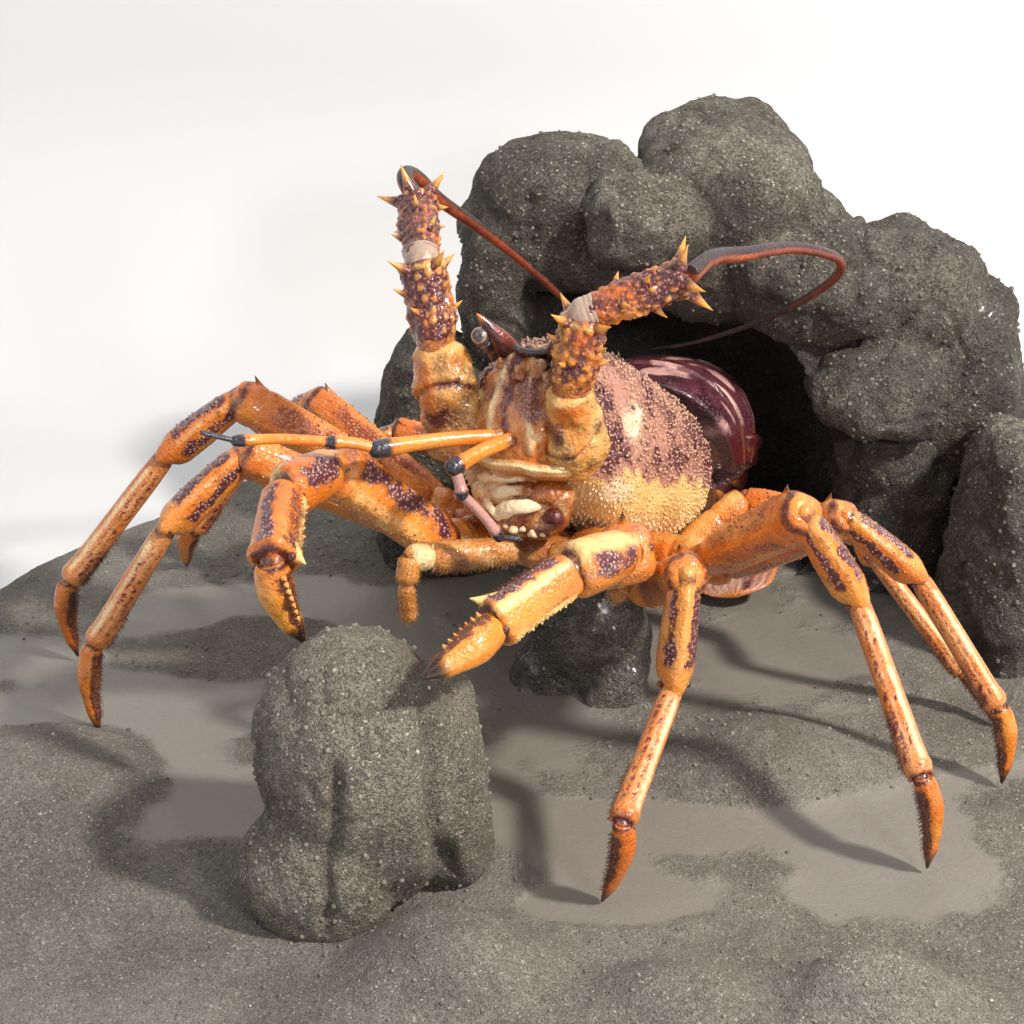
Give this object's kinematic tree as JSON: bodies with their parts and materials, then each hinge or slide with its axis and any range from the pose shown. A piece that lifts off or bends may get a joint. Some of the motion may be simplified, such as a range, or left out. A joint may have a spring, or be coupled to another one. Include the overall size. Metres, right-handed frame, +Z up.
{
  "type": "mounted spiny lobster on a rockwork base",
  "caption": "Life-size still model of a red and orange spiny lobster standing on a sandy rockwork base, its tail in a small cave, long antennae folded back.",
  "frame": {"origin": "middle of the flat underside of the base, centred on the whole object's box", "axes": "+Z up from the underside; +Y from the front edge of the base, with the low rock knob, to the back with the cave; +X towards the right of the front view"},
  "size_m": [0.67, 0.72, 0.3024],
  "materials": {
    "orange_shell": "varnished orange shell with purple-brown granular patches and cream ridges",
    "cream_shell": "varnished cream and tan shell with orange, purple and brown marks",
    "purple_shell": "purple-brown shell, yellow-cream low on the flanks, densely covered in small spines",
    "dark_shell": "dark red-brown horns and finely ringed whips, reddish underneath",
    "pale_mouth": "cream mouthparts stained amber",
    "fan_shell": "thin orange and pinkish tail fan plates",
    "eye": "small glassy dark eye on a mauve stalk",
    "sandy_rock": "cast rock covered in grey-brown sand with wet-looking smooth patches"
  },
  "bodies": {
    "root": {"base_ground": "sandy_rock", "rock_knob": "sandy_rock", "rock_left": "sandy_rock", "rock_roof_left": "sandy_rock", "rock_roof": "sandy_rock", "rock_right": "sandy_rock", "rock_pillar": "sandy_rock", "rock_inner": "sandy_rock", "rock_back": "sandy_rock", "carapace": "purple_shell", "breastplate": "cream_shell", "face": "cream_shell", "antenna_right": "cream_shell", "antenna_left": "cream_shell", "horn_left": "dark_shell", "horn_right": "dark_shell", "eye_left": "eye", "eye_right": "eye", "mouthparts": "pale_mouth", "maxilliped_right": "orange_shell", "maxilliped_left": "orange_shell", "antennule_right": "orange_shell", "antennule_left": "orange_shell", "whip_right_near": "dark_shell", "whip_right_far": "dark_shell", "whip_left_near": "dark_shell", "whip_left_far": "dark_shell", "abdomen_1": "purple_shell", "abdomen_2": "purple_shell", "abdomen_3": "purple_shell", "abdomen_4": "purple_shell", "abdomen_5": "purple_shell", "abdomen_6": "purple_shell", "telson": "fan_shell", "uropods_left": "fan_shell", "uropods_right": "fan_shell", "leg_left_1_upper": "orange_shell", "leg_left_1_lower": "orange_shell", "leg_left_2_upper": "orange_shell", "leg_left_2_lower": "orange_shell", "leg_left_3_upper": "orange_shell", "leg_left_3_lower": "orange_shell", "leg_left_4_upper": "orange_shell", "leg_left_4_lower": "orange_shell", "leg_left_5_upper": "orange_shell", "leg_left_5_lower": "orange_shell", "leg_right_1_upper": "orange_shell", "leg_right_1_lower": "orange_shell", "leg_right_2_upper": "orange_shell", "leg_right_2_lower": "orange_shell", "leg_right_3_upper": "orange_shell", "leg_right_3_lower": "orange_shell", "leg_right_4_upper": "orange_shell", "leg_right_4_lower": "orange_shell", "leg_right_5_upper": "orange_shell", "leg_right_5_lower": "orange_shell", "rock_support": "sandy_rock"}
  },
  "joints": []
}
